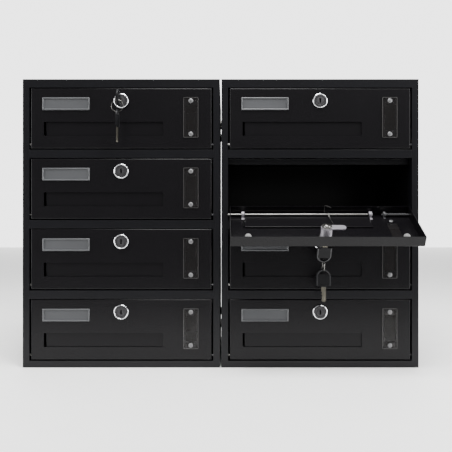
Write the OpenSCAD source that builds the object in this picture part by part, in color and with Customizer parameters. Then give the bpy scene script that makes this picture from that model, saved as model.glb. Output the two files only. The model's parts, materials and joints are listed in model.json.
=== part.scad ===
// Cluster mailbox unit: two sheet-steel cabinets side by side, four letter boxes each.
// Millimetres. +X is right, +Y goes into the cabinets, +Z is up.
// The origin is the bottom centre of the whole unit's box, with its one open door counted.

/* [Cabinets] */
// Width of one cabinet
cab_w = 298.75; // [270:0.25:360]
// Depth of a cabinet, front face to wall
cab_d = 250; // [150:5:350]
// Gap between the two cabinets
cab_gap = 2.5; // [1:0.5:10]
// Thickness of the case sheet
case_t = 1.5; // [1:0.1:2.5]
// Width of the upright frame face beside the doors
frame_w = 10; // [8:0.5:14]
// Depth of the returns behind the frame face
jamb_d = 16; // [10:1:20]
// Height of the top rail's face
top_rail = 12.8; // [10:0.2:20]
// Height of the rails between doors and of the bottom rail
rail_h = 12.7; // [10:0.1:20]
// Height of the bottom rail's face
base_rail = 10.1; // [8:0.1:20]

/* [Doors] */
// Height of a door
door_h = 91.4; // [80:0.2:130]
// Depth of a door pan
door_d = 16; // [12:0.1:18]
// Thickness of the door sheet
door_t = 1.2; // [0.8:0.1:1.5]
// Radius of the door's outer bends
bend_r = 1.5; // [1:0.1:2]
// Gap beside a door
side_gap = 2.575; // [2:0.025:4]
// Gap above a door
top_gap = 1.0; // [0.8:0.1:2]
// Gap below a door, which the bottom bend swings through
sill_gap = 1.6; // [1.5:0.1:3]
// Hinge axis above the door's bottom edge
axis_up = 6.5; // [6.5:0.1:9]
// Hinge axis behind the door's front face
axis_in = 4.5; // [4.3:0.1:4.6]
// How far the second door on the right stands open
open_angle = 120; // [60:1:120]

/* [Hinge hardware] */
// Diameter of the hinge rod and pins
rod_dia = 3; // [2.5:0.5:4]
// Running clearance round a pin, on the radius
run_fit = 0.05; // [0.02:0.01:0.1]
// How far a pin reaches past the frame return
pin_past = 2; // [1:0.5:4]

/* [Letter slot and flap] */
// Length of the letter slot
slot_w = 180.6; // [150:1:200]
// Height of the letter slot
slot_h = 21; // [15:0.5:25]
// Letter slot's left end from the door's left edge
slot_x = 19.5; // [18:0.5:40]
// Letter slot's lower edge above the door's bottom edge
slot_z = 19.4; // [18:0.2:25]
// Thickness of the flap
flap_t = 0.9; // [0.7:0.1:1.2]
// How far the flap overlaps the slot's upper edge
flap_lap = 1.3; // [1:0.1:3]
// Open strip that the flap leaves at the slot's left end
flap_start = 3; // [0:0.5:4]
// How far the flap reaches past the slot's right end
flap_past = 11; // [2:1:14]

/* [Window and label] */
// Width of the clear window
pane_w = 22.6; // [18:0.2:30]
// Height of the clear window
pane_h = 61; // [50:1:64]
// Thickness of the clear window
pane_t = 1.5; // [1:0.1:1.6]
// Window's right edge from the door's right edge
pane_x = 20; // [16:1:30]
// Window's lower edge above the door's bottom edge
pane_z = 16.6; // [16.4:0.2:20]
// Distance between the window's two rivets
rivet_pitch = 50.4; // [44:0.2:54]
// Height of the opening behind the window
view_h = 38; // [30:1:40]
// Width of the opening behind the window
view_w = 16; // [10:1:18]
// Width of the label holder
label_w = 71.6; // [50:0.2:80]
// Height of the label holder
label_h = 19.3; // [14:0.1:22]

/* [Lock] */
// Diameter of the lock's face
lock_face = 22.7; // [20:0.1:26]
// Diameter of the lock's threaded body
lock_body = 16.5; // [15:0.1:18]
// Diameter of the plug
plug_dia = 12; // [10:0.2:13]
// Lock axis below the door's top edge
lock_drop = 19; // [17:0.2:24]
// Length of the cam from the lock axis to its tip
cam_len = 27.5; // [24:0.5:28]
// Thickness of the cam
cam_t = 2; // [1.5:0.1:2.5]

/* [Keys] */
// Width of a key's head
bow_w = 21.8; // [20:0.1:26]
// Thickness of a key's head
bow_t = 3; // [2.4:0.1:4]
// Length of a key's blade
blade_len = 23; // [18:0.5:26]
// Mean diameter of the key ring
ring_dia = 17.4; // [16:0.2:22]
// Diameter of the key ring's wire
ring_wire = 1.3; // [1:0.1:1.5]

/* [Hidden] */
$fn = 32;
eps = 0.01;
SIDES = ["l", "r"];
ROWS = [1, 2, 3, 4];
OPEN_SIDE = "r";
OPEN_ROW = 2;
PARTS = ["door", "window", "label", "hardware", "lock", "flap"];
KEYS = ["key_l1", "ring_l1", "spare_l1", "key_r2", "ring_r2", "spare_r2"];
CASES = ["left_case", "right_case", "back_panels", "left_shelves", "right_shelves", "joining_bolts"];
NODES = concat(CASES, [for (p = PARTS) for (s = SIDES) for (r = ROWS) str(p, "_", s, r)], KEYS);
node = "all";

// Doors and rows
door_w = cab_w - 2 * frame_w - 2 * side_gap;
pitch = door_h + top_gap + rail_h + sill_gap;
case_h = base_rail + sill_gap + 3 * pitch + door_h + top_gap + top_rail;
rod_r = rod_dia / 2;
bore_r = rod_r + run_fit;

// The open door's top rim is the foremost point, and sets where the front face stands
rim_y = door_d - axis_in;
tip_z = door_h - axis_up;
open_reach = tip_z * sin(open_angle) - rim_y * cos(open_angle) - axis_in;
front_y = (open_reach - cab_d) / 2;

// The strike is the flange behind each door's top edge: bumpers meet it and the cam hooks it
strike_gap = 1;
strike_y = door_d + strike_gap;
strike_down = 7.5;
lock_z = door_h - lock_drop;
cam_y = strike_y + case_t + 0.7;
face_out = 2.5;
plug_r = plug_dia / 2;
tail = 8;
tail_fit = 0.1;

// Flap: a plate behind the slot, with an ear at each end that turns on the rod
flap_y = door_t + 0.8;
flap_top = slot_z + slot_h + flap_lap - axis_up;
flap_x = slot_x + flap_start;
flap_w = slot_w - flap_start + flap_past;
ear_r = axis_in - door_t - 0.4;
ear_rise = 20;
sleeve_r = (rod_r + axis_in - door_t) / 2;
web_z = 3;
lug_t = 4.4;
lug_gap = 0.4;
pin_lug_x = flap_x + flap_w + 22;

// Keys: the head is a square with a half-round end, and a half-moon slot for the ring
bow_r = bow_w / 2;
bow_sq = 13.9;
bow_rim = 2.5;
moon_cut = 3.3;
head_gap = 11.1;
blade_w = 7;
blade_t = 2;
ring_r = ring_dia / 2;
wire_r = ring_wire / 2;
wire_play = 0.35;
moon_half = sqrt(pow(bow_r - bow_rim, 2) - pow(moon_cut, 2));
bow_base = face_out + head_gap;
moon_axis = bow_base + bow_sq;

function cab_x(s) = s == "l" ? -cab_gap / 2 - cab_w : cab_gap / 2;
function door_x(s) = cab_x(s) + frame_w + side_gap;
function door_z(r) = base_rail + sill_gap + (4 - r) * pitch;
function is_open(s, r) = s == OPEN_SIDE && r == OPEN_ROW;

// A node is drawn when it is the one asked for, or when all are
function shown(name) = node == "all" || node == name;

// Puts a shape given in the door's own frame where that door hangs
module at_door(s, r) {
    swing = is_open(s, r) ? open_angle : 0;
    translate([door_x(s), front_y + axis_in, door_z(r) + axis_up])
        rotate([swing, 0, 0])
            translate([0, -axis_in, -axis_up]) children();
}

// A cylinder along X, and one along Y
module rod_x(r, from, to) {
    translate([from, 0, 0]) rotate([0, 90, 0]) cylinder(r = r, h = to - from);
}
module rod_y(r, from, to) {
    translate([0, from, 0]) rotate([-90, 0, 0]) cylinder(r = r, h = to - from);
}

// A w by d rectangle whose two corners at y = 0 are round
module front_round(w, d, r) {
    translate([0, r]) square([w, d - r]);
    translate([r, 0]) square([w - 2 * r, r + eps]);
    for (x = [r, w - r]) translate([x, r]) circle(r = r);
}

// Flat strip with round corners, standing in the XZ plane and t thick towards +Y
module plate_xz(w, h, r, t) {
    translate([0, t, 0]) rotate([90, 0, 0]) linear_extrude(t) union() {
        translate([r, 0]) square([w - 2 * r, h]);
        translate([0, r]) square([w, h - 2 * r]);
        for (x = [r, w - r], z = [r, h - r]) translate([x, z]) circle(r = r);
    }
}

// ---- cabinets ----

// The downward strike flange and the return that joins it to a rail's lower edge
module strike(z) {
    inner = cab_w - 2 * frame_w;
    translate([frame_w, 0, z]) cube([inner, strike_y + case_t, case_t]);
    translate([frame_w, strike_y, z - top_gap - strike_down])
        cube([inner, case_t, top_gap + strike_down + eps]);
}

// One folded case: wrapper, frame faces and returns, top and bottom rails
module case_shell(s) {
    color("#2a2a2d") translate([cab_x(s), front_y, 0]) difference() {
        union() {
            cube([cab_w, cab_d, case_t]);
            translate([0, 0, case_h - case_t]) cube([cab_w, cab_d, case_t]);
            for (x = [0, cab_w - case_t]) translate([x, 0, 0]) cube([case_t, cab_d, case_h]);
            for (x = [0, cab_w - frame_w]) translate([x, 0, 0]) cube([frame_w, case_t, case_h]);
            for (x = [frame_w - case_t, cab_w - frame_w])
                translate([x, 0, 0]) cube([case_t, jamb_d, case_h]);
            cube([cab_w, case_t, base_rail]);
            translate([0, 0, case_h - top_rail]) cube([cab_w, case_t, top_rail]);
            strike(case_h - top_rail);
        }
        for (r = ROWS) translate([0, axis_in, door_z(r) + axis_up])
            for (x = [frame_w - case_t, cab_w - frame_w]) rod_x(bore_r, x - 1, x + case_t + 1);
        for (y = bolt_ys, z = bolt_zs) translate([0, y, z])
            rod_x(bolt_r + 0.2, inner_wall(s) - 1, inner_wall(s) + case_t + 1);
    }
}

// Where the two cases are bolted together through their facing sides
bolt_r = 3;
bolt_ys = [60, cab_d - 50];
bolt_zs = [door_z(4) + door_h / 2, door_z(1) + door_h / 2];
function inner_wall(s) = s == "l" ? cab_w - case_t : 0;

// The three rails with their box floors, and the lowest box's floor
module shelves(s) {
    inside = cab_w - 2 * case_t;
    between = cab_w - 2 * frame_w;
    color("#232326") translate([cab_x(s), front_y, 0]) for (r = ROWS) {
        floor_z = door_z(r) - sill_gap - case_t;
        translate([0, 0, floor_z]) {
            translate([frame_w, r == 4 ? case_t : 0, 0]) cube([between, jamb_d, case_t]);
            translate([case_t, jamb_d, 0]) cube([inside, cab_d - jamb_d - case_t, case_t]);
        }
        if (r < 4) {
            translate([frame_w, 0, floor_z + case_t - rail_h]) cube([between, case_t, rail_h]);
            strike(floor_z + case_t - rail_h);
        }
    }
}

// Backs, each with four wall-fixing holes
wall_hole_r = 3.5;
wall_pitch_x = 200;
wall_pitch_z = 3 * pitch;
module back_panels() {
    color("#2a2a2d") for (s = SIDES) translate([cab_x(s), front_y + cab_d - case_t, 0]) difference() {
        translate([case_t, 0, case_t]) cube([cab_w - 2 * case_t, case_t, case_h - 2 * case_t]);
        for (x = [-1, 1] * wall_pitch_x / 2, z = [-1, 1] * wall_pitch_z / 2)
            translate([cab_w / 2 + x, 0, case_h / 2 + z]) rod_y(wall_hole_r, -1, case_t + 1);
    }
}

// Bolt, nut and the washer that keeps the two cases apart, four times
module joining_bolts() {
    half = cab_gap / 2 + case_t;
    color("#b8babd") for (y = bolt_ys, z = bolt_zs) translate([0, front_y + y, z]) {
        rod_x(bolt_r, -half - eps, half + 7);
        difference() {
            rod_x(7, -cab_gap / 2, cab_gap / 2);
            rod_x(bolt_r, -cab_gap, cab_gap);
        }
        rod_x(5.5, -half - 3.5, -half);
        translate([half, 0, 0]) rotate([0, 90, 0]) difference() {
            cylinder(r = 5.8, h = 5, $fn = 6);
            translate([0, 0, -1]) cylinder(r = bolt_r, h = 7, $fn = 32);
        }
    }
}

// ---- doors, in the door's own frame ----

module door(s, r) {
    color("#1b1a1c") at_door(s, r) difference() {
        intersection() {
            rotate([90, 0, 90]) linear_extrude(door_w) rotate(90) mirror([0, 1]) front_round(door_h, door_d, bend_r);
            linear_extrude(door_h) front_round(door_w, door_d, bend_r);
        }
        translate([door_t, door_t, door_t]) cube([door_w - 2 * door_t, door_d, door_h - 2 * door_t]);
        translate([slot_x, -1, slot_z]) cube([slot_w, door_t + 2, slot_h]);
        translate([door_w - pane_x - pane_w / 2 - view_w / 2, -1, pane_z + (pane_h - view_h) / 2])
            cube([view_w, door_t + 2, view_h]);
        translate([door_w / 2, 0, lock_z]) rod_y(lock_body / 2, -1, door_t + 1);
        translate([0, axis_in, axis_up]) {
            rod_x(bore_r, -1, door_t + 1);
            rod_x(bore_r, door_w - door_t - 1, door_w + 1);
        }
        for (z = rivet_zs()) translate([rivet_x(), 0, z]) rod_y(rivet_r, -1, door_t + 1);
    }
}

rivet_r = 1.6;
rivet_head = 3.5;
function rivet_x() = door_w - pane_x - pane_w / 2;
function rivet_zs() = [for (d = [-1, 1]) pane_z + pane_h / 2 + d * rivet_pitch / 2];

// Clear pane on the door's front face
module window(s, r) {
    color([0.85, 0.9, 0.95, 0.35]) at_door(s, r) difference() {
        translate([door_w - pane_x - pane_w, -pane_t, pane_z]) plate_xz(pane_w, pane_h, 1.5, pane_t);
        for (z = rivet_zs()) translate([rivet_x(), 0, z]) rod_y(rivet_r, -pane_t - 1, 1);
    }
}

// Label holder: a shallow frame with a sheet behind its lip
module label(s, r) {
    deep = 2;
    lip = 1.6;
    color("#77787a") at_door(s, r) translate([17.5, -deep, door_h - 14 - label_h]) difference() {
        plate_xz(label_w, label_h, 1, deep);
        translate([lip, -1, lip]) cube([label_w - 2 * lip, 1.8, label_h - 2 * lip]);
    }
}

// An upright ear with a foot on the door sheet, bored for the rod
module lug(x, wide, foot) {
    difference() {
        translate([x, door_t, axis_up - 5]) cube([wide, axis_in - door_t + 5, 10]);
        translate([0, axis_in, axis_up]) rod_x(rod_r, x - 1, x + wide + 1);
    }
    translate([x, door_t, axis_up + 5]) cube([wide, 1.2, foot]);
}

// Everything fixed to a door's inside: rod, sprung pin, lugs, lock housing and nut, rivets, bumpers
module hardware(s, r) {
    rod_end = flap_x + flap_w + lug_gap + lug_t;
    color("#c4c5c7") at_door(s, r) {
        translate([0, axis_in, axis_up]) {
            rod_x(rod_r, -side_gap - case_t - pin_past, rod_end);
            translate([rod_end, 0, 0]) rod_x(rod_r + 0.8, 0, 2);
            rod_x(rod_r, pin_lug_x - 2, door_w + side_gap + case_t + pin_past);
            difference() {
                rod_x(sleeve_r, pin_lug_x + 3, door_w - door_t - 4);
                rod_x(rod_r, pin_lug_x, door_w);
            }
        }
        lug(flap_x - lug_gap - lug_t, lug_t, 6);
        lug(rod_end - lug_t, lug_t, 6);
        lug(pin_lug_x, 3, 4);
        translate([door_w / 2, 0, lock_z]) difference() {
            union() {
                rod_y(lock_body / 2, -0.5, cam_y - 0.3);
                rod_y(lock_face / 2, -face_out, 0);
            }
            rod_y(plug_r + run_fit, -face_out - 1, cam_y);
        }
        translate([door_w / 2, door_t, lock_z]) rotate([-90, 0, 0]) difference() {
            cylinder(r = 11.5, h = 3, $fn = 6);
            translate([0, 0, -1]) cylinder(r = lock_body / 2, h = 5, $fn = 32);
        }
        for (z = rivet_zs()) translate([rivet_x(), 0, z]) {
            rod_y(rivet_r, -pane_t, door_t);
            rod_y(rivet_head, -pane_t - 1.2, -pane_t);
            rod_y(rivet_head - 0.5, door_t, door_t + 2);
        }
        for (x = [25.5, door_w - 25.5]) translate([x, 0, door_h - door_t - 5.4])
            rod_y(5, door_t, strike_y - 0.3);
    }
}

// The plug with its tail, cam and retaining screw; turning it a quarter turn lifts the cam
module lock(s, r) {
    flat = is_open(s, r);
    color("#a9abae") at_door(s, r) translate([door_w / 2, 0, lock_z]) {
        difference() {
            rod_y(plug_r, -face_out, cam_y);
            rotate([0, flat ? 0 : 90, 0]) translate([-blade_w / 2 - 0.1, -face_out - 1, -blade_t / 2 - 0.1])
                cube([blade_w + 0.2, blade_len - head_gap + 1.5, blade_t + 0.2]);
        }
        translate([-tail / 2, cam_y, -tail / 2]) cube([tail, cam_t + 0.4, tail]);
        difference() {
            union() {
                rod_y(tail, cam_y, cam_y + cam_t);
                translate([0, cam_y, -5.5]) cube([cam_len - 5.5, cam_t, 11]);
                translate([cam_len - 5.5, 0, 0]) rod_y(5.5, cam_y, cam_y + cam_t);
            }
            translate([-tail / 2, cam_y - 1, -tail / 2]) cube([tail, cam_t + 2, tail]);
        }
        rod_y(7.3, cam_y + cam_t + 0.4, cam_y + cam_t + 1.6);
        rod_y(4.5, cam_y + cam_t + 1.6, cam_y + cam_t + 4);
    }
}

// The flap: a plate with a folded ear at each end, bored for the rod
module flap(s, r) {
    color("#2c2c30") at_door(s, r) {
        translate([flap_x, flap_y, axis_up + web_z]) cube([flap_w, flap_t, flap_top - web_z]);
        for (x = [flap_x, flap_x + flap_w - flap_t]) translate([x, axis_in, axis_up]) difference() {
            union() {
                rod_x(ear_r, 0, flap_t);
                rotate([90, 0, 90]) linear_extrude(flap_t) polygon([
                    [flap_y - axis_in, web_z], [0, 0], [ear_r, 0],
                    [flap_y - axis_in + flap_t, ear_rise], [flap_y - axis_in, ear_rise]
                ]);
            }
            rod_x(bore_r, -1, flap_t + 1);
        }
    }
}

// ---- keys ----

// A key along -Y from its shoulder at y = 0: blade towards +Y, head towards -Y, flat in XY
module key_flat() {
    difference() {
        translate([0, 0, -bow_t / 2]) linear_extrude(bow_t) union() {
            translate([-bow_r, -bow_sq]) square([bow_w, bow_sq]);
            translate([0, -bow_sq]) circle(r = bow_r, $fn = 48);
        }
        translate([0, -bow_sq, -bow_t]) intersection() {
            cylinder(r = bow_r - bow_rim, h = 2 * bow_t, $fn = 48);
            translate([-bow_r, -bow_r, 0]) cube([bow_w, bow_r - moon_cut, 2 * bow_t]);
        }
    }
    difference() {
        translate([-blade_w / 2, 0, -blade_t / 2]) cube([blade_w, blade_len, blade_t]);
        for (n = [0, 1, 2, 3]) translate([blade_w / 2, 8 + 3.6 * n, -blade_t])
            rotate(45) cube([1.6 + 0.3 * (n % 2), 1.6 + 0.3 * (n % 2), 2 * blade_t], center = false);
    }
}

module ring_in_xz() {
    rotate([90, 0, 0]) rotate_extrude($fn = 48) translate([ring_r, 0]) circle(r = wire_r, $fn = 16);
}

// Left key: its flat is upright and the ring lies in the slot's lower end
function l1_origin() = [door_x("l") + door_w / 2, front_y, door_z(1) + lock_z];
wire_l1 = moon_half - wire_r - wire_play - 1.2;
l1_wire_y = -moon_axis - moon_cut - 1.7;
l1_ring_z = -wire_l1 - ring_r;

module key_l1() {
    color("#242426") translate(l1_origin()) translate([0, -bow_base, 0]) rotate([0, 90, 0]) key_flat();
}
module ring_l1() {
    color("#b9b6ae") translate(l1_origin()) translate([0, l1_wire_y, l1_ring_z]) ring_in_xz();
}
// The spare hangs from the ring's lowest point by its own slot, blade down
hang = bow_sq + bow_r - bow_rim - wire_r - wire_play;
module spare_l1() {
    color("#242426") translate(l1_origin()) translate([0, l1_wire_y, l1_ring_z - ring_r - hang])
        rotate([0, 0, 90]) rotate([-90, 0, 0]) key_flat();
}

// Right key: its flat is level across the door and the ring hangs from the head's outer rim
bridge = bow_base + bow_sq + bow_r - bow_rim / 2;
function r2_turn(y, z) = [
    y * cos(open_angle) - z * sin(open_angle),
    y * sin(open_angle) + z * cos(open_angle)
];
r2_bridge = r2_turn(-bridge - axis_in, lock_z - axis_up);
r2_drop = ring_r - wire_r - norm([bow_rim, bow_t]) / 2 - 0.1;
r2_ring = [
    door_x("r") + door_w / 2,
    front_y + axis_in + r2_bridge[0],
    door_z(2) + axis_up + r2_bridge[1] - r2_drop
];

module key_r2() {
    color("#242426") at_door("r", 2) translate([door_w / 2, -bow_base, lock_z]) key_flat();
}
module ring_r2() {
    color("#b9b6ae") translate(r2_ring) rotate([0, 0, 90]) ring_in_xz();
}
module spare_r2() {
    color("#242426") translate(r2_ring) translate([0, 0, -ring_r - hang]) rotate([-90, 0, 0]) key_flat();
}

// ---- nodes ----

if (shown("left_case")) case_shell("l");
if (shown("right_case")) case_shell("r");
if (shown("back_panels")) back_panels();
if (shown("left_shelves")) shelves("l");
if (shown("right_shelves")) shelves("r");
if (shown("joining_bolts")) joining_bolts();
for (s = SIDES) for (r = ROWS) {
    if (shown(str("door_", s, r))) door(s, r);
    if (shown(str("window_", s, r))) window(s, r);
    if (shown(str("label_", s, r))) label(s, r);
    if (shown(str("hardware_", s, r))) hardware(s, r);
    if (shown(str("lock_", s, r))) lock(s, r);
    if (shown(str("flap_", s, r))) flap(s, r);
}
if (shown("key_l1")) key_l1();
if (shown("ring_l1")) ring_l1();
if (shown("spare_l1")) spare_l1();
if (shown("key_r2")) key_r2();
if (shown("ring_r2")) ring_r2();
if (shown("spare_r2")) spare_r2();
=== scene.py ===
# %% [markdown]
# # A cluster of letter boxes
# Two black steel cabinets stand side by side, each with four boxes closed by drop-down doors. The frame is
# already exact: every hinge, lock and flap has its place. This file adds what the eye looks for, such as
# eased sheet edges, lathe-turned locks, wound springs and keys, and gives each finish its own material.

# %% Load the frame
import json
import math

import bmesh
import bpy
import numpy as np
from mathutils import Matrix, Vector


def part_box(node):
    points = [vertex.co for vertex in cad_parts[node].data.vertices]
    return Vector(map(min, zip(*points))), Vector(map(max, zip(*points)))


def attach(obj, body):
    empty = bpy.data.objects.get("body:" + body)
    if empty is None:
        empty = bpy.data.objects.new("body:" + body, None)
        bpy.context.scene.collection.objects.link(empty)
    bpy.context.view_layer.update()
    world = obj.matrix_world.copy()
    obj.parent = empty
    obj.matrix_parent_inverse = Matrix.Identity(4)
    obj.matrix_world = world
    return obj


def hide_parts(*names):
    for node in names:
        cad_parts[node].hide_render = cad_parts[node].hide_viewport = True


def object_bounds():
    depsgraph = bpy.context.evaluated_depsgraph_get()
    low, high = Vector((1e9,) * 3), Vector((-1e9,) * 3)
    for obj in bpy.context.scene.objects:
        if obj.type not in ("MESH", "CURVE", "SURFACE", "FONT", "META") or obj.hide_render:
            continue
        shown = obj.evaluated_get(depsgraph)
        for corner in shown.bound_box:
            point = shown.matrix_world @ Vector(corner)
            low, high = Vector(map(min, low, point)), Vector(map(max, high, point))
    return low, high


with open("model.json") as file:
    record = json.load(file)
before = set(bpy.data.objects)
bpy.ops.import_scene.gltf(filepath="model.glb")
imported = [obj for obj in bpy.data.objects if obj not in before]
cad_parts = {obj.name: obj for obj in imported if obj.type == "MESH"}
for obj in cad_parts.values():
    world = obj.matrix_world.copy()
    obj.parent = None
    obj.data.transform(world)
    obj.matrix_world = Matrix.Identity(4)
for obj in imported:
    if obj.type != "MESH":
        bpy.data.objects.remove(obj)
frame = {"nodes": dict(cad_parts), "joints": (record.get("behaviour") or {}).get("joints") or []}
cad_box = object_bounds()
MM = 0.001
JOINTS = {j["name"]: j for j in frame["joints"]}
DOORS = [side + str(row) for side in "lr" for row in (1, 2, 3, 4)]
OPEN_DOOR = "r2"
OPEN_ANGLE = math.radians(120)
print("frame box", cad_box)

# %% [markdown]
# The camera comes first, so that every later step can be judged in the picture. The lens looks level at the
# cabinets from just under a metre, so the top and the sides are not seen.

# %% Camera
front_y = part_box("left_case")[0][1]
unit_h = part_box("left_case")[1][2]
camera_data = bpy.data.cameras.new("camera")
camera_data.lens = 47.3
camera_data.sensor_width = 36
camera = bpy.data.objects.new("camera", camera_data)
camera.location = (0.0081, front_y - 0.9, 0.2144)
camera.rotation_euler = (math.radians(90), 0, 0)
bpy.context.collection.objects.link(camera)
bpy.context.scene.camera = camera
print("camera at", [round(c, 4) for c in camera.location], "lens", round(camera_data.lens, 1))

# %% [markdown]
# Studio light is soft and comes from large panels. The surround is dim, so that the black faces stay black,
# and a bright wall far behind the cabinets makes the pale ground they stand out from. Panels above and
# beside draw thin bright lines along the folded edges.

# %% Light
world = bpy.data.worlds.new("studio")
world.use_nodes = True
world.node_tree.nodes["Background"].inputs["Color"].default_value = (1, 1, 1, 1)
world.node_tree.nodes["Background"].inputs["Strength"].default_value = 0.48
bpy.context.scene.world = world


def panel(name, place, target, size, power):
    """A square area light at place that faces target."""
    data = bpy.data.lights.new(name, "AREA")
    data.size = size
    data.energy = power
    lamp = bpy.data.objects.new(name, data)
    lamp.location = place
    aim = np.array(target) - np.array(place)
    lamp.rotation_euler = (math.atan2(math.hypot(aim[0], aim[1]), -aim[2]), 0, math.atan2(-aim[0], aim[1]))
    bpy.context.collection.objects.link(lamp)


middle = (0, front_y, unit_h / 2)
panel("key_light", (0.9, front_y - 1.3, 1.5), middle, 0.5, 13)
panel("top_light", (0, front_y - 0.45, 1.5), (0, front_y, 0.3), 0.7, 46)
panel("left_light", (-1.5, front_y - 0.25, 0.5), (0, front_y, 0.25), 1.0, 32)
panel("right_light", (1.5, front_y - 0.25, 0.5), (0, front_y, 0.25), 1.0, 38)
print("watts", {lamp.name: lamp.energy for lamp in bpy.data.lights})


# %% [markdown]
# Colours are written as sRGB hex, the way a paint chart gives them, and turned to the linear values that
# light works in. A finish could be a flat colour, but real paint and metal vary a little all over, so each
# finish here is a small network of nodes. One helper adds a node with its settings and its links.

# %% Colour and node helpers
def linear(hex_code):
    """sRGB hex to linear RGBA: the sRGB curve undone, channel by channel."""
    srgb = [int(hex_code[i:i + 2], 16) / 255 for i in (1, 3, 5)]
    return [c / 12.92 if c <= 0.04045 else ((c + 0.055) / 1.055) ** 2.4 for c in srgb] + [1]


def add(tree, kind, settings=None, **links):
    """One node of a kind, with attribute settings, and inputs given as values or as sockets to link."""
    node = tree.nodes.new(kind)
    for name, value in (settings or {}).items():
        setattr(node, name, value)
    for name, value in links.items():
        by_number = name[0] == "_" and name[1:].isdigit()
        socket = node.inputs[int(name[1:]) if by_number else name.replace("_", " ")]
        if isinstance(value, bpy.types.NodeSocket):
            tree.links.new(value, socket)
        else:
            socket.default_value = value
    return node


def finish_named(name, grain_mm, bump_mm, low, high, rough, **shader):
    """A finely grained finish: noise tints it from low to high, varies its roughness and lifts the bump."""
    material = bpy.data.materials.new(name)
    material.use_nodes = True
    tree = material.node_tree
    tree.nodes.clear()
    place = add(tree, "ShaderNodeTexCoord").outputs["Object"]
    grain = add(tree, "ShaderNodeTexNoise", Vector=place, Scale=1000 / grain_mm, Detail=3.0)
    cloud = add(tree, "ShaderNodeTexNoise", Vector=place, Scale=18.0, Detail=2.0)
    tint = add(tree, "ShaderNodeMix", {"data_type": "RGBA"}, _0=cloud.outputs["Fac"], _6=linear(low), _7=linear(high))
    gloss = add(tree, "ShaderNodeMapRange", Value=grain.outputs["Fac"], To_Min=rough[0], To_Max=rough[1])
    relief = add(tree, "ShaderNodeBump", Height=grain.outputs["Fac"], Strength=0.6, Distance=bump_mm * MM)
    bsdf = add(tree, "ShaderNodeBsdfPrincipled", Base_Color=tint.outputs[2], Roughness=gloss.outputs[0],
               Normal=relief.outputs[0])
    for key, value in shader.items():
        bsdf.inputs[key.replace("_", " ")].default_value = value
    add(tree, "ShaderNodeOutputMaterial", Surface=bsdf.outputs[0])
    return material


print("mid grey #808080 is", round(linear("#808080")[0], 3), "in linear light")

# %% [markdown]
# Black powder coat is baked plastic dust: it has a fine orange-peel grain about half a millimetre across
# and a satin sheen. The doors are a deeper black than the cases. Bright parts are zinc plate and chrome,
# the key heads are moulded ABS, and the bumpers are grey rubber.

# %% Finishes
case_paint = finish_named("powder_coat_case", 0.7, 0.02, "#09090b", "#0d0d10", (0.25, 0.35), Specular_IOR_Level=0.2)
door_paint = finish_named("powder_coat_door", 0.7, 0.02, "#070608", "#0a090b", (0.23, 0.33), Specular_IOR_Level=0.18)
flap_paint = finish_named("powder_coat_flap", 0.7, 0.02, "#070608", "#0a090b", (0.26, 0.36), Specular_IOR_Level=0.16)
# dark steel for the right pin, its lug and coil: partly the steel's own dark finish, partly painted shade where the
# side wall shadows them
dark_steel_and_shade = finish_named("blackened_steel_and_painted_shade", 0.9, 0.02, "#232325", "#343436", (0.35, 0.5), Specular_IOR_Level=0.5)
zinc = finish_named("bright_zinc_plate", 1.2, 0.01, "#5e5d5b", "#7d7c79", (0.2, 0.38), Metallic=1.0)
cam_zinc = finish_named("dull_zinc_plate", 1.6, 0.01, "#77747a", "#8a878c", (0.4, 0.55), Metallic=0.55)
rivet_steel = finish_named("aluminium_rivet", 1.0, 0.01, "#5a5a5b", "#6a6a6b", (0.4, 0.5), Metallic=0.6)
chrome = finish_named("chromed_die_cast", 2.0, 0.004, "#c4c5c8", "#dcdde0", (0.08, 0.16), Metallic=1.0)
plug_metal = finish_named("satin_plug", 0.8, 0.006, "#29282a", "#333234", (0.35, 0.5), Metallic=0.4)
face_grey = finish_named("satin_lock_face", 0.8, 0.006, "#242325", "#2e2d2f", (0.3, 0.45), Metallic=0.4)
key_steel = finish_named("nickel_silver_blade", 1.0, 0.01, "#57544c", "#6b685f", (0.3, 0.45), Metallic=1.0)
abs_black = finish_named("moulded_abs", 0.5, 0.01, "#08080a", "#0c0c0e", (0.38, 0.55), Specular_IOR_Level=0.14)
bead_black = finish_named("polished_abs_bead", 0.5, 0.01, "#18181a", "#1d1d20", (0.25, 0.35), Specular_IOR_Level=0.45)
rubber = finish_named("grey_rubber", 0.8, 0.02, "#5f5f5e", "#70706f", (0.55, 0.75))
label_grey = finish_named("grey_label_card", 0.6, 0.002, "#363739", "#3e3f41", (0.5, 0.65), Specular_IOR_Level=0.3)
holder_grey = finish_named("moulded_label_frame", 0.8, 0.004, "#38393b", "#424345", (0.3, 0.42))
# the pane's edge ring is painted light grey: a painted highlight along the window's edge
pane_edge_highlight = finish_named("painted_pane_edge_highlight", 0.8, 0.01, "#2b2a2a", "#353433", (0.35, 0.5))


def clear_sheet(name, tint, rough, alpha):
    """Thin clear plastic: a mostly transparent gloss surface, so that what is behind shows through."""
    material = finish_named(name, 3.0, 0.0005, tint, tint, (rough, rough + 0.05), Alpha=alpha, IOR=1.49)
    material.surface_render_method = "BLENDED"
    return material


acrylic = clear_sheet("clear_acrylic", "#242222", 0.16, 0.22)
floor_paint = finish_named("pale_floor", 4.0, 0.02, "#f4f4f3", "#f8f8f7", (0.6, 0.7))
print(len(bpy.data.materials), "finishes")


# %% [markdown]
# Most new shapes are a grid of points: a profile turned about an axis, as on a lathe, or a ring of points
# carried along a path, as wire is bent. A modifier could do it, but arrays give every point its exact place.

# %% Grid shapes
def grid_faces(rows, cols, wrap_rows, wrap_cols):
    """Quads between neighbouring points of a rows by cols grid, joined round where it wraps."""
    i, j = np.meshgrid(np.arange(rows - (not wrap_rows)), np.arange(cols - (not wrap_cols)), indexing="ij")
    i2, j2 = (i + 1) % rows, (j + 1) % cols
    quads = np.stack([i * cols + j, i2 * cols + j, i2 * cols + j2, i * cols + j2], -1)
    return quads.reshape(-1, 4)


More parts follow.
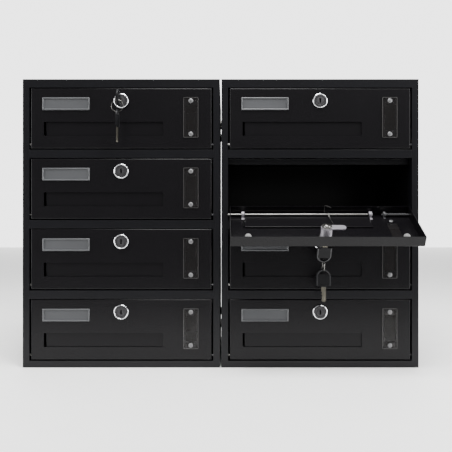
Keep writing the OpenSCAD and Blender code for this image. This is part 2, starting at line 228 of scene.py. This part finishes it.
def lathe(profile, sides=40):
    """Profile points (radius, height) turned about +Y: x = r cos t, z = r sin t, y = height."""
    r, h = np.array(profile, float).T
    t = np.linspace(0, 2 * np.pi, sides, endpoint=False)[:, None]
    points = np.stack([r * np.cos(t), h + 0 * t, r * np.sin(t)], -1)
    return points.reshape(-1, 3), grid_faces(sides, len(r), True, False)


def tube(path, radius, sides=10, closed=False):
    """A circle of the given radius carried along path, on axes square to its direction."""
    p = np.array(path, float)
    step = np.roll(p, -1, 0) - np.roll(p, 1, 0) if closed else np.gradient(p, axis=0)
    ahead = step / np.linalg.norm(step, axis=1)[:, None]
    # the first side axis is carried from point to point and kept square to the path
    side = np.cross(ahead[0], [0.31, 0.52, 0.79])
    sides_at = []
    for direction in ahead:
        side = side - direction * (side @ direction)
        side = side / np.linalg.norm(side)
        sides_at.append(side)
    u = np.array(sides_at)[:, None]
    v = np.cross(ahead, u[:, 0])[:, None]
    t = np.linspace(0, 2 * np.pi, sides, endpoint=False)[None, :, None]
    ring = p[:, None] + radius * (u * np.cos(t) + v * np.sin(t))
    faces = [tuple(f) for f in grid_faces(len(p), sides, closed, True)]
    if not closed:
        faces += [tuple(range(sides)), tuple(range((len(p) - 1) * sides, len(p) * sides))]
    return ring.reshape(-1, 3), faces


print("a four-sided lathe ring has", len(lathe([(1, 0), (1, 1)], 4)[1]), "faces")

# %% [markdown]
# Stamped and sawn parts are flat outlines with a depth, and some have holes. Blender fills the outline and
# pushes it through, so that the holes stay true cut-outs and need no boolean.

# %% Flat shapes
def prism(outline, low, high, holes=()):
    """An outline in XZ, given a depth along Y from low to high. Its holes are walls of the same depth."""
    mesh = bmesh.new()
    loops = []
    for ring in (outline, *holes):
        verts = [mesh.verts.new((x, low, z)) for x, z in ring]
        loops.append([mesh.edges.new((verts[i], verts[(i + 1) % len(verts)])) for i in range(len(verts))])
    bmesh.ops.triangle_fill(mesh, use_beauty=True, edges=[e for loop in loops for e in loop])
    bmesh.ops.dissolve_limit(mesh, angle_limit=0.01, verts=mesh.verts, edges=mesh.edges)
    grown = bmesh.ops.extrude_face_region(mesh, geom=mesh.faces[:])
    moved = [v for v in grown["geom"] if isinstance(v, bmesh.types.BMVert)]
    bmesh.ops.translate(mesh, vec=(0, high - low, 0), verts=moved)
    bmesh.ops.recalc_face_normals(mesh, faces=mesh.faces)
    mesh.verts.index_update()
    points = np.array([v.co[:] for v in mesh.verts])
    faces = [tuple(v.index for v in f.verts) for f in mesh.faces]
    mesh.free()
    return points, faces


def block(low, high):
    """A rectangular block between two corners."""
    (x0, y0, z0), (x1, y1, z1) = low, high
    return prism([(x0, z0), (x1, z0), (x1, z1), (x0, z1)], y0, y1)


def arc(centre, radius, start, stop, steps=12):
    """Points of a circle's arc, angles in degrees."""
    t = np.radians(np.linspace(start, stop, steps))
    return [(centre[0] + radius * math.cos(a), centre[1] + radius * math.sin(a)) for a in t]


def round_box(x, z, w, h, r):
    """Outline of a rectangle with round corners."""
    left, right, low, high = x + r, x + w - r, z + r, z + h - r
    corners = [((right, low), -90), ((right, high), 0), ((left, high), 90), ((left, low), 180)]
    return [p for centre, start in corners for p in arc(centre, r, start, start + 90, 6)]


print("a block has", len(block((0, 0, 0), (1, 1, 1))[1]), "faces")

# %% [markdown]
# A shape is its points and its faces, so moving it is one line of arithmetic, and shapes that belong to one
# finish are joined before they become an object.

# %% Moving and joining shapes
def turned(shape, matrix):
    """A shape with each point moved by a 4 by 4 matrix."""
    points, faces = shape
    return points @ matrix[:3, :3].T + matrix[:3, 3], faces


def moved(shape, x=0, y=0, z=0):
    """A shape shifted by these distances."""
    return shape[0] + np.array([x, y, z]), shape[1]


def joined(*shapes):
    """Several shapes as one, with their face numbers carried on."""
    points, faces, count = [], [], 0
    for p, f in shapes:
        points.append(p)
        faces += [tuple(int(i) + count for i in face) for face in f]
        count += len(p)
    return np.concatenate(points), faces


SWAP_XY = np.array([[0, 1, 0, 0], [1, 0, 0, 0], [0, 0, 1, 0], [0, 0, 0, 1]], float)


def along_x(shape):
    """A shape turned from the Y axis to the X axis."""
    return turned(shape, SWAP_XY)


print("axes swapped:", along_x(block((0, 0, 0), (1, 2, 3)))[0].max(0))

# %% [markdown]
# A shape becomes an object that moves with one body of the frame. Real edges are never knife sharp, so they
# are eased first. Then narrow faces are shaded smooth, because they make the curves, and wide ones flat: a
# wide face that borrowed its neighbours' tilt would show false waves of light.

# %% From shape to object
SMOOTH_WIDTH = 0.003
SHARP = math.radians(35)


def ease_edges(work, width):
    """Round every edge that bends by over 35 degrees."""
    sharp = [e for e in work.edges if len(e.link_faces) == 2 and e.calc_face_angle(0) > SHARP]
    bmesh.ops.bevel(work, geom=sharp, offset=width * MM, segments=2, profile=0.6, affect="EDGES", clamp_overlap=True)


def shade(mesh, degrees):
    """Creases over degrees, narrow faces smooth to make the curves, wide faces flat for even light."""
    if "custom_normal" in mesh.attributes:
        mesh.attributes.remove(mesh.attributes["custom_normal"])
    mesh.set_sharp_from_angle(angle=math.radians(degrees))
    for face in mesh.polygons:
        ring = [mesh.vertices[i].co for i in face.vertices]
        outline = sum((a - b).length for a, b in zip(ring, ring[1:] + ring[:1]))
        face.use_smooth = 2 * face.area < SMOOTH_WIDTH * outline


def ride(name, mesh, material, body, replaces):
    """A mesh becomes an object in one finish that moves with a body."""
    obj = bpy.data.objects.new(name, mesh)
    bpy.context.collection.objects.link(obj)
    mesh.materials.append(material)
    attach(obj, body)
    if replaces:
        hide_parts(replaces)


def piece(name, shape, material, body, matrix, ease=0.0, replaces=None, smooth=40):
    """A mesh object in metres from a shape in mm: merged, faces turned outwards, edges eased, riding a body."""
    points, faces = turned(shape, matrix)
    mesh = bpy.data.meshes.new(name)
    mesh.from_pydata((points * MM).tolist(), [], [tuple(int(i) for i in f) for f in faces])
    work = bmesh.new()
    work.from_mesh(mesh)
    bmesh.ops.remove_doubles(work, verts=work.verts, dist=1e-7)
    bmesh.ops.dissolve_degenerate(work, dist=1e-8, edges=work.edges)
    bmesh.ops.recalc_face_normals(work, faces=work.faces)
    if ease:
        ease_edges(work, ease)
    work.to_mesh(mesh)
    work.free()
    shade(mesh, smooth)
    ride(name, mesh, material, body, replaces)


# %% [markdown]
# A folded sheet has no knife edges: the press leaves a small round, and the paint thickens on it. These
# parts could be drawn anew, but the frame's own are exact. So each case, floor and door is a copy, welded,
# with its flat faces joined and its edges eased.

# %% Eased copies of sheet parts
def eased_copy(node, name, material, body, width, gap=0.0):
    """The node's own shape in world metres, welded, with flats joined and edges eased, drawn in by a gap."""
    mesh = frame["nodes"][node].data.copy()
    mesh.name = name
    mesh.materials.clear()
    work = bmesh.new()
    work.from_mesh(mesh)
    bmesh.ops.remove_doubles(work, verts=work.verts, dist=1e-6)
    bmesh.ops.dissolve_limit(work, angle_limit=math.radians(1), verts=work.verts, edges=work.edges)
    ease_edges(work, width)
    work.normal_update()
    for vert, inward in [(vert, -vert.normal) for vert in work.verts]:
        vert.co += inward * gap * MM
    work.to_mesh(mesh)
    work.free()
    shade(mesh, 30)
    ride(name, mesh, material, body, node)


for node in ("left_case", "right_case", "back_panels", "left_shelves", "right_shelves"):
    eased_copy(node, node + "_sheet", case_paint, "cabinets", 0.55)
eased_copy("joining_bolts", "joining_bolts_eased", zinc, "cabinets", 0.25)
for n in DOORS:
    eased_copy("door_" + n, "door_sheet_" + n, door_paint, "door_" + n, 0.3)
    eased_copy("window_" + n, "window_pane_" + n, acrylic, "door_" + n, 0.3, gap=0.015)
print("sheet parts eased")


# %% [markdown]
# All eight doors are one product. So a door's parts are drawn once, in millimetres from the door's own lower
# left front corner, and a matrix hangs them on each hinge. The open door's matrix also carries its swing.

# %% Where each door hangs
door_low, door_high = (np.array(c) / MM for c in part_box("door_l1"))
DOOR_W = door_high[0] - door_low[0]
DOOR_H = door_high[2] - door_low[2]
DOOR_T = 1.2
hinge_l1 = np.array(JOINTS["door_l1_hinge"]["pos_m"]) / MM
AXIS_IN = hinge_l1[1] - door_low[1]
AXIS_UP = hinge_l1[2] - door_low[2]
lock_l1 = np.array(JOINTS["lock_l1_turn"]["pos_m"]) / MM
LOCK_X = lock_l1[0] - door_low[0]
LOCK_Z = lock_l1[2] - door_low[2]
PIN_END = door_low[0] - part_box("hardware_l1")[0][0] / MM


def turn_x(angle):
    """Rotation about +X: y turns towards z."""
    c, s = math.cos(angle), math.sin(angle)
    return np.array([[1, 0, 0, 0], [0, c, -s, 0], [0, s, c, 0], [0, 0, 0, 1.0]])


def shift(x, y, z):
    """The matrix that shifts by these distances."""
    matrix = np.eye(4)
    matrix[:3, 3] = (x, y, z)
    return matrix


def hang(n):
    """Door frame to world: back to the hinge axis, swing if open, out to where the hinge is."""
    swing = OPEN_ANGLE if n == OPEN_DOOR else 0
    hinge = np.array(JOINTS[f"door_{n}_hinge"]["pos_m"]) / MM
    return shift(*hinge) @ turn_x(swing) @ shift(-DOOR_W / 2, -AXIS_IN, -AXIS_UP)


print("door", round(DOOR_W, 1), round(DOOR_H, 1), "hinge", round(AXIS_IN, 2), round(AXIS_UP, 2))

# %% [markdown]
# The lock is a threaded zinc housing with a polished flange. It is turned on a lathe, so its profile is
# revolved. A hexagon nut grips the sheet from behind. Inside it turns the plug, with its keyway, a square
# tail and a flat stamped cam held by a domed screw.

# %% Lock housing and plug
FACE_R, BODY_R, PLUG_R = 11.35, 8.25, 6.0
CAM_Y, CAM_T, CAM_LEN = 19.2, 2.0, 27.5
FACE_OUT = 2.5


def thread(from_y, to_y, pitch=1.5, depth=0.45):
    """Profile points of a rolled thread: crests and roots in turn along y."""
    steps = np.arange(from_y, to_y, pitch / 2)
    return [(BODY_R - (depth if i % 2 else 0), y) for i, y in enumerate(steps)]


BORE_R = PLUG_R + 0.05
bead_profile = [
    (9.3, -FACE_OUT + 0.9), (9.5, -FACE_OUT + 0.3), (9.9, -FACE_OUT), (10.5, -FACE_OUT + 0.15),
    (11.0, -FACE_OUT + 0.6), (FACE_R, -1.3), (FACE_R, -0.2), (FACE_R - 0.2, 0), (BORE_R, 0),
    (BORE_R, -FACE_OUT + 1.0), (9.3, -FACE_OUT + 0.9),
]
barrel_profile = [
    (BORE_R, 0), (BODY_R, 0), *thread(1.4, CAM_Y - 1.2), (BODY_R - 0.5, CAM_Y - 0.3), (BORE_R, CAM_Y - 0.3),
    (BORE_R, 0),
]
inner_face = lathe([(r, depth - FACE_OUT) for r, depth in (
    (PLUG_R + 0.06, 0.9), (PLUG_R + 0.06, 0.5), (PLUG_R + 0.4, 0.3), (8.8, 0.3), (9.3, 0.6), (9.3, 0.95),
    (PLUG_R + 0.06, 0.9),
)], 56)
hexagon = arc((0, 0), 11.5, 0, 300, 6)
nut_hole = arc((0, 0), BODY_R + 0.05, 0, 337.5, 24)
nut = prism(hexagon, DOOR_T, DOOR_T + 3, holes=[nut_hole])


def keyway(flat):
    """The slot outline for a key, level when flat, upright when not."""
    w, h = (3.6, 1.1) if flat else (1.1, 3.6)
    return [(-w, -h), (w, -h), (w, h), (-w, h)]


def plug_parts(flat):
    """The plug's slotted front and its solid rear, which the slot does not reach."""
    face = prism(arc((0, 0), PLUG_R - 0.05, 0, 350, 36), -FACE_OUT + 0.15, 11, holes=[keyway(flat)])
    body = lathe([(0, 10), (PLUG_R - 0.05, 10), (PLUG_R - 0.05, CAM_Y - 0.05), (0, CAM_Y - 0.05)])
    return joined(face, body)


cam_outline = [*arc((0, 0), 8, 45, 315, 20), (6.5, -5.5), *arc((CAM_LEN - 5.5, 0), 5.5, -90, 90, 12), (6.5, 5.5)]
square_hole = [(-4, -4), (4, -4), (4, 4), (-4, 4)]
cam = prism(cam_outline, CAM_Y, CAM_Y + CAM_T, holes=[square_hole])
tail = block((-3.95, CAM_Y, -3.95), (3.95, CAM_Y + CAM_T + 0.3, 3.95))
washer_y = CAM_Y + CAM_T + 0.35
cam_screw = lathe([
    (0, washer_y), (7.3, washer_y), (7.3, washer_y + 0.9), (7.0, washer_y + 1.2), (4.9, washer_y + 1.25),
    (4.6, washer_y + 2.0), (3.6, washer_y + 3.0), (2.2, washer_y + 3.5), (0.9, washer_y + 3.6),
    (0.7, washer_y + 2.6), (0, washer_y + 2.5),
])

for n in DOORS:
    here = hang(n) @ shift(LOCK_X, 0, LOCK_Z)
    door, lock = "door_" + n, "lock_" + n
    piece("lock_bead_" + n, lathe(bead_profile, 56), chrome, door, here, replaces="hardware_" + n)
    piece("lock_barrel_" + n, lathe(barrel_profile, 40), cam_zinc, door, here)
    piece("lock_inner_face_" + n, inner_face, face_grey, door, here)
    piece("lock_nut_" + n, nut, zinc, door, here, ease=0.3)
    piece("lock_plug_face_" + n, plug_parts(n == OPEN_DOOR), plug_metal, lock, here, ease=0.12,
          replaces="lock_" + n)
    piece("cam_" + n, joined(cam, tail), cam_zinc, lock, here, ease=0.25)
    piece("cam_screw_" + n, cam_screw, zinc, lock, here)
print("locks made")

# %% [markdown]
# The door turns on a steel rod at its lower edge. The rod's left end is the left pin. A separate pin on the
# right is pressed out by a coil spring, so that the door can be lifted out. Lugs hold both, and the flap
# hangs on the rod between two of them.

# %% Rod, pins, lugs and springs
ROD_R = 1.5
FLAP_X, FLAP_W = 22.5, 188.6
LUG_W, LUG_R = 4.4, 5
ROD_END = FLAP_X + FLAP_W + 0.4 + LUG_W
PIN_LUG = FLAP_X + FLAP_W + 22
PIN_TIP = DOOR_W + PIN_END


def helix(radius, start, stop, turns, per_turn=16):
    """Points that go round the X axis while x goes from start to stop."""
    t = np.linspace(0, turns * 2 * np.pi, int(turns * per_turn) + 1)
    return np.stack([np.interp(t, [0, t[-1]], [start, stop]), radius * np.cos(t), radius * np.sin(t)], -1)


def pin_profile(start, stop, dome):
    """A rod with a chamfered start and a domed or chamfered stop."""
    head = [(2.3, stop), (2.3, stop + 1.0), (1.8, stop + 1.6), (1.0, stop + 1.95), (0, stop + 2)]
    plain = [(ROD_R, stop - 0.5), (ROD_R - 0.5, stop), (0, stop)]
    return [(0, start), (ROD_R - 0.5, start), (ROD_R, start + 0.5), *(head if dome else plain)]


def upright_at(x, shape):
    """A prism whose outline was drawn in YZ, with its depth running along X from here."""
    return np.stack([shape[0][:, 1] + x, shape[0][:, 0], shape[0][:, 2]], -1), shape[1]


def lug(x, wide, foot):
    """A cast ear with a round top, upright from the door sheet, and a foot along it."""
    outline = [(AXIS_UP - LUG_R, DOOR_T), (AXIS_UP + LUG_R, DOOR_T)]
    outline += arc((AXIS_UP, AXIS_IN), LUG_R, 0, 180, 14)
    upright = upright_at(x, prism([(y, z) for z, y in outline], 0, wide))
    return joined(upright, block((x, DOOR_T, AXIS_UP + 4), (x + wide, DOOR_T + 1.2, AXIS_UP + LUG_R + foot)))


rod = along_x(lathe(pin_profile(-PIN_END + 0.1, ROD_END, True), 24))
sprung_pin = along_x(lathe(pin_profile(PIN_LUG - 2, PIN_TIP - 0.1, False), 24))
collar = along_x(lathe([(ROD_R, PIN_LUG + 3), (2.8, PIN_LUG + 3), (2.8, PIN_LUG + 5), (ROD_R, PIN_LUG + 5)], 24))
pin_coil = moved(tube(helix(2.1, PIN_LUG + 5.5, DOOR_W - DOOR_T - 4.5, 15), 0.45, 8), y=AXIS_IN, z=AXIS_UP)
lugs = joined(lug(FLAP_X - 0.4 - LUG_W, LUG_W, 6), lug(ROD_END - LUG_W, LUG_W, 6))
rod, sprung_pin, collar = (moved(s, y=AXIS_IN, z=AXIS_UP) for s in (rod, sprung_pin, collar))

for n in DOORS:
    here, door = hang(n), "door_" + n
    piece("hinge_rod_" + n, rod, zinc, door, here)
    piece("hinge_lugs_" + n, lugs, cam_zinc, door, here, ease=0.3)
    # the right pin, collar, lug and coil are darkened partly as painted shade from the side wall
    piece("sprung_pin_" + n, joined(sprung_pin, collar), dark_steel_and_shade, door, here)
    piece("pin_lug_" + n, lug(PIN_LUG, 3, 4), dark_steel_and_shade, door, here, ease=0.3)
    piece("pin_spring_" + n, pin_coil, dark_steel_and_shade, door, here)
print("hinges made")

# %% [markdown]
# Two small rivets hold the window, whose rim is an opaque light grey ring, a painted highlight along the pane's edge,
# # and two rubber domes near the door's top edge quieten it as it closes. All four are round, so they are turned
# profiles too.

# %% Rivets and bumpers
PANE_T = 1.5
window_low, window_high = (np.array(c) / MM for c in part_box("window_l1"))
RIVET_X = (window_low[0] + window_high[0]) / 2 - door_low[0]
RIVET_MID = (window_low[2] + window_high[2]) / 2 - door_low[2]
RIVET_PITCH = 50.4
BUMPER_R, BUMPER_END = 5.0, 16.7
BUMPER_IN, BUMPER_DOWN = 25.5, 5.4
rivet = lathe([
    (0, -PANE_T - 1.2), (1.4, -PANE_T - 1.12), (2.5, -PANE_T - 0.8), (3.2, -PANE_T - 0.35), (3.5, -PANE_T),
    (1.6, -PANE_T), (1.6, DOOR_T), (3.0, DOOR_T), (3.0, DOOR_T + 1.4), (2.2, DOOR_T + 2), (0, DOOR_T + 2),
], 28)
bumper = lathe([
    (0, DOOR_T), (BUMPER_R, DOOR_T), (BUMPER_R, 11), (4.8, 12.9), (4.2, 14.7), (3.0, 16), (1.5, 16.55),
    (0, BUMPER_END),
], 32)
rivets = joined(*(moved(rivet, RIVET_X, 0, RIVET_MID + d * RIVET_PITCH / 2) for d in (-1, 1)))
bumpers = joined(*(moved(bumper, x, 0, DOOR_H - DOOR_T - BUMPER_DOWN) for x in (BUMPER_IN, DOOR_W - BUMPER_IN)))
pane = [window_low[0] - door_low[0], window_low[2] - door_low[2], *(window_high - window_low)[[0, 2]]]
RIM_OUT, RIM_WIDE = 0.02, 0.6


def pane_outline(by, r):
    """The pane's outline, this far in from its edge."""
    return round_box(pane[0] + by, pane[1] + by, pane[2] - 2 * by, pane[3] - 2 * by, r)


# a thin opaque ring round the pane, whose lighter grey is a painted highlight on the pane's edge
rim = prism(pane_outline(-RIM_OUT, 1.5), -PANE_T - RIM_OUT, -RIM_OUT, holes=[pane_outline(RIM_WIDE, 1.0)])
for n in DOORS:
    piece("window_rim_highlight_" + n, rim, pane_edge_highlight, "door_" + n, hang(n))
    piece("window_rivets_" + n, rivets, rivet_steel, "door_" + n, hang(n))
    piece("bumpers_" + n, bumpers, rubber, "door_" + n, hang(n))
print("pane", [round(c, 1) for c in pane[2:]], "rivets", RIVET_PITCH, "apart")

# %% [markdown]
# The name goes in a moulded frame with a bevelled lip. Its section is a closed ring of points, carried round
# the rectangle, because a prism could not slope the lip. A grey card lies in it, held by a tab at each end.

# %% Label holders
LABEL_X, LABEL_W, LABEL_H, LABEL_OUT = 17.5, 71.6, 19.3, 2.0
LABEL_DOWN = 14
LABEL_Z = DOOR_H - LABEL_DOWN - LABEL_H
CARD_IN = 2.3


def inset(by, y):
    """One ring of the holder's section, this far in from its edge and at this depth."""
    outline = round_box(LABEL_X + by, LABEL_Z + by, LABEL_W - 2 * by, LABEL_H - 2 * by, max(1 - by, 0.3))
    return [(x, y, z) for x, z in outline]


SECTION = [(0, 0), (0, -1.1), (0.35, -1.7), (0.9, -LABEL_OUT), (1.5, -1.9), (2.4, -1.0), (2.4, -0.3), (2.4, 0)]
rings = np.array([inset(by, y) for by, y in SECTION])
holder = (rings.reshape(-1, 3), grid_faces(len(SECTION), rings.shape[1], True, True))
tabs = joined(*(block((x, -1.95, LABEL_Z + LABEL_H / 2 - 3), (x + 1.3, -0.9, LABEL_Z + LABEL_H / 2 + 3))
                   for x in (LABEL_X + 1.5, LABEL_X + LABEL_W - 2.8)))
card = prism(round_box(LABEL_X + CARD_IN, LABEL_Z + CARD_IN, LABEL_W - 2 * CARD_IN, LABEL_H - 2 * CARD_IN, 0.4),
             -0.6, -0.2)
for n in DOORS:
    here, door = hang(n), "door_" + n
    piece("label_frame_" + n, joined(holder, tabs), holder_grey, door, here,
          replaces="label_" + n, smooth=50)
    piece("label_card_" + n, card, label_grey, door, here)
print("labels made")

# %% [markdown]
# The flap is one pressing. Its upper edge is hemmed, an ear is folded at each end for the rod, and a
# torsion spring shuts it. The coil is drawn in two halves, because a rigid piece moves with one body only:
# the half with the leg along the plate swings with it, and the half with the hooked leg stays on the door.

# %% Flap and its spring
FLAP_Y, FLAP_T = 2.0, 0.9
FLAP_TOP = 41.7
EAR_R = AXIS_IN - DOOR_T - 0.4
EAR_TOP = AXIS_UP + 20
PLATE_LOW = AXIS_UP + 3


def ear(x):
    """The folded end: round about the rod, tapering to the plate, bored for the rod."""
    edge = [(FLAP_Y, EAR_TOP), (FLAP_Y, PLATE_LOW)]
    edge += [(AXIS_IN - y, AXIS_UP + z) for y, z in arc((0, 0), EAR_R, 40, -180, 20)]
    edge += [(FLAP_Y + FLAP_T, EAR_TOP)]
    bore = arc((AXIS_IN, AXIS_UP), ROD_R + 0.05, 0, 345, 24)
    return upright_at(x, prism(edge, 0, FLAP_T, holes=[bore]))


# the plate stops just short of the ears, so that no corners of theirs are welded
SHORT = 0.02
FLAP_END = FLAP_X + FLAP_W
HEM_R = 0.8
plate = block((FLAP_X + SHORT, FLAP_Y, PLATE_LOW + SHORT), (FLAP_END - SHORT, FLAP_Y + FLAP_T, FLAP_TOP))
hem = along_x(lathe([(0, FLAP_X), (HEM_R, FLAP_X), (HEM_R, FLAP_END), (0, FLAP_END)], 16))
hem = moved(hem, y=FLAP_Y + FLAP_T, z=FLAP_TOP - HEM_R)
ears = [ear(FLAP_X), ear(FLAP_END - FLAP_T)]
SPRING_X, SPRING_R, SPRING_WIRE = FLAP_X + 121.5, 2.2, 0.4
still_coil = helix(SPRING_R, SPRING_X, SPRING_X + 3, 3)
swung_coil = helix(SPRING_R, SPRING_X + 3.9, SPRING_X + 6, 2)
leg_free = np.array([
    [0, 2.2, 0], [-0.6, 8, -0.5], [-0.8, 14.5, -1], [0, 15.2, -1], [5, 14.2, 0.5], [9, 12.8, 2],
]) + [SPRING_X, 0, 0]
leg_plate = np.array([
    [6, 1.0, 2.0], [6.6, -0.6, 5.0], [7.6, -1.2, 12], [9.5, -1.15, 24], [10.5, -1.15, 29],
]) + [SPRING_X, 0, 0]
still_half, swung_half = (
    moved(joined(tube(turns, SPRING_WIRE, 8), tube(leg, SPRING_WIRE, 8)), y=AXIS_IN, z=AXIS_UP)
    for turns, leg in ((still_coil, leg_free), (swung_coil, leg_plate)))
for n in DOORS:
    here, body = hang(n), "flap_" + n
    piece("flap_plate_" + n, joined(plate, hem, *ears), flap_paint, body, here, ease=0.2,
          replaces="flap_" + n)
    piece("flap_spring_" + n, swung_half, zinc, body, here)
    piece("flap_spring_hook_" + n, still_half, zinc, "door_" + n, here)
print("flaps made")

# %% [markdown]
# A key has a moulded head with a half-moon slot for the ring and a milled blade. The head's rim is a little
# thicker than its middle, as a mould leaves it, and the blade has bitting cuts along one edge.

# %% Keys and rings
BOW_R, BOW_SQ, BOW_RIM, MOON = 10.9, 13.9, 2.5, 3.3
BOW_T, BLADE_T, BLADE_L = 3.0, 2.0, 23.0
MOON_R = BOW_R - BOW_RIM
moon_angle = math.degrees(math.asin(MOON / MOON_R))
head_outline = [(-BOW_R, 0), (-BOW_R, -BOW_SQ)] + arc((0, -BOW_SQ), BOW_R, 180, 360, 28)[1:-1]
head_outline += [(BOW_R, -BOW_SQ), (BOW_R, 0)]
moon_outline = arc((0, -BOW_SQ), MOON_R, 180 + moon_angle, 360 - moon_angle, 22)
head = prism(head_outline, -BOW_T / 2 + 0.25, BOW_T / 2 - 0.25, holes=[moon_outline])


def outline_rib(radius, half):
    """A bead along the head's edge: a thin tube carried round the D."""
    path = [(-radius, -0.8), (-radius, -BOW_SQ * 0.5), (-radius, -BOW_SQ)]
    path += arc((0, -BOW_SQ), radius, 184, 356, 28) + [(radius, -BOW_SQ), (radius, -BOW_SQ * 0.5), (radius, -0.8)]
    return tube([(x, 0, z) for x, z in path], half, 10)


RIB_R = 1.45
rib = outline_rib(BOW_R - RIB_R, RIB_R)
collar_outline = [(-4.7, -2.0), (4.7, -2.0), (4.0, 1.4), (-4.0, 1.4)]
key_collar = prism(collar_outline, -BOW_T / 2, BOW_T / 2)
cuts = [
    (3.5, 7.0), (3.5, 7.8), (2.0, 9.2), (2.1, 10.4), (3.5, 11.8), (1.5, 13.6), (1.7, 14.6), (3.2, 16.0),
    (1.8, 17.6), (3.0, 19.2), (2.8, 21.0),
]
blade_outline = [(-3.5, 0), (-3.5, 20.6), (-2.0, BLADE_L), (1.2, BLADE_L)] + cuts[::-1] + [(3.5, 0)]
blade = prism(blade_outline, -BLADE_T / 2, BLADE_T / 2)
groove = block((-1.6, -BLADE_T / 2 - 0.02, 1.6), (-0.6, BLADE_T / 2 + 0.02, 20))


def key(name, matrix, body, node):
    """Head, bead and blade on one matrix. The key's own frame has the blade up +Z and the flat in XZ."""
    piece(name + "_head", joined(head, key_collar), abs_black, body, matrix, ease=0.35,
          replaces=node)
    piece(name + "_bead", rib, bead_black, body, matrix)
    piece(name + "_blade", joined(blade, groove), key_steel, body, matrix, ease=0.15)


def basis(x_axis, y_axis, z_axis, origin):
    """The matrix that lays a shape's own axes along these and its origin here."""
    matrix = np.eye(4)
    matrix[:3, :3] = np.array([x_axis, y_axis, z_axis], float).T
    matrix[:3, 3] = origin
    return matrix


HEAD_AT = 13.6
lock_r2 = hang("r2") @ shift(LOCK_X, 0, LOCK_Z)
lock_at_l1 = hang("l1") @ shift(LOCK_X, 0, LOCK_Z)
# the blade goes into the lock along +Y: left key upright, right key level
key("left_key", lock_at_l1 @ basis((0, 0, 1), (1, 0, 0), (0, 1, 0), (0, -HEAD_AT, 0)), "lock_l1", "key_l1")
key("right_key", lock_r2 @ basis((1, 0, 0), (0, 0, -1), (0, 1, 0), (0, -HEAD_AT, 0)), "lock_r2", "key_r2")

RING_R, WIRE_R, WIRE_APART = 8.7, 0.34, 0.66


def split_ring(across):
    """Two flat turns of wire side by side, in the plane square to the given axis."""
    t = np.linspace(0, 4 * np.pi, 97)
    half = WIRE_APART / 2
    off = np.interp(t, [0, 2 * np.pi - 0.5, 2 * np.pi + 0.5, 4 * np.pi], [-half, -half, half, half])
    flat = np.stack([RING_R * np.cos(t), off, RING_R * np.sin(t)], -1)
    return tube(flat if across == "y" else flat[:, [1, 0, 2]], WIRE_R, 8)


for n, across in (("l1", "y"), ("r2", "x")):
    low, high = (np.array(c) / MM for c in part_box("ring_" + n))
    centre = (low + high) / 2
    piece("split_ring_" + n, split_ring(across), zinc, "ring_" + n, shift(*centre),
          replaces="ring_" + n)
    low, high = (np.array(c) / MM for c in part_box("spare_" + n))
    shoulder = (*((low + high) / 2)[:2], low[2] + BLADE_L)
    flat = ((0, 1, 0), (1, 0, 0)) if n == "l1" else ((-1, 0, 0), (0, 1, 0))
    key("spare_key_" + n, basis(*flat, (0, 0, -1), shoulder), "spare_" + n, "spare_" + n)
print("keys made")

# %% [markdown]
# The floor is a wide pale sheet, and a glowing wall stands at its far end, so that the studio stays quiet and
# bright behind the dark steel.

# %% Floor and wall
glow = bpy.data.materials.new("studio_wall")
glow.use_nodes = True
glow.node_tree.nodes.clear()
light = add(glow.node_tree, "ShaderNodeEmission", Color=(1, 1, 1, 1), Strength=3.4)
add(glow.node_tree, "ShaderNodeOutputMaterial", Surface=light.outputs[0])


def sheet(name, corners, material):
    """One flat face that belongs to the studio, not to the object."""
    mesh = bpy.data.meshes.new(name)
    mesh.from_pydata(corners, [], [(0, 1, 2, 3)])
    mesh.materials.append(material)
    obj = bpy.data.objects.new(name, mesh)
    bpy.context.collection.objects.link(obj)


FAR = 5.0
NEAR = front_y - 0.5
floor_z = cad_box[0][2] - 0.0005
sheet("floor", [(-FAR, NEAR, floor_z), (FAR, NEAR, floor_z), (FAR, FAR, floor_z), (-FAR, FAR, floor_z)], floor_paint)
sheet("wall", [(-FAR, FAR, floor_z), (FAR, FAR, floor_z), (FAR, FAR, FAR), (-FAR, FAR, FAR)], glow)
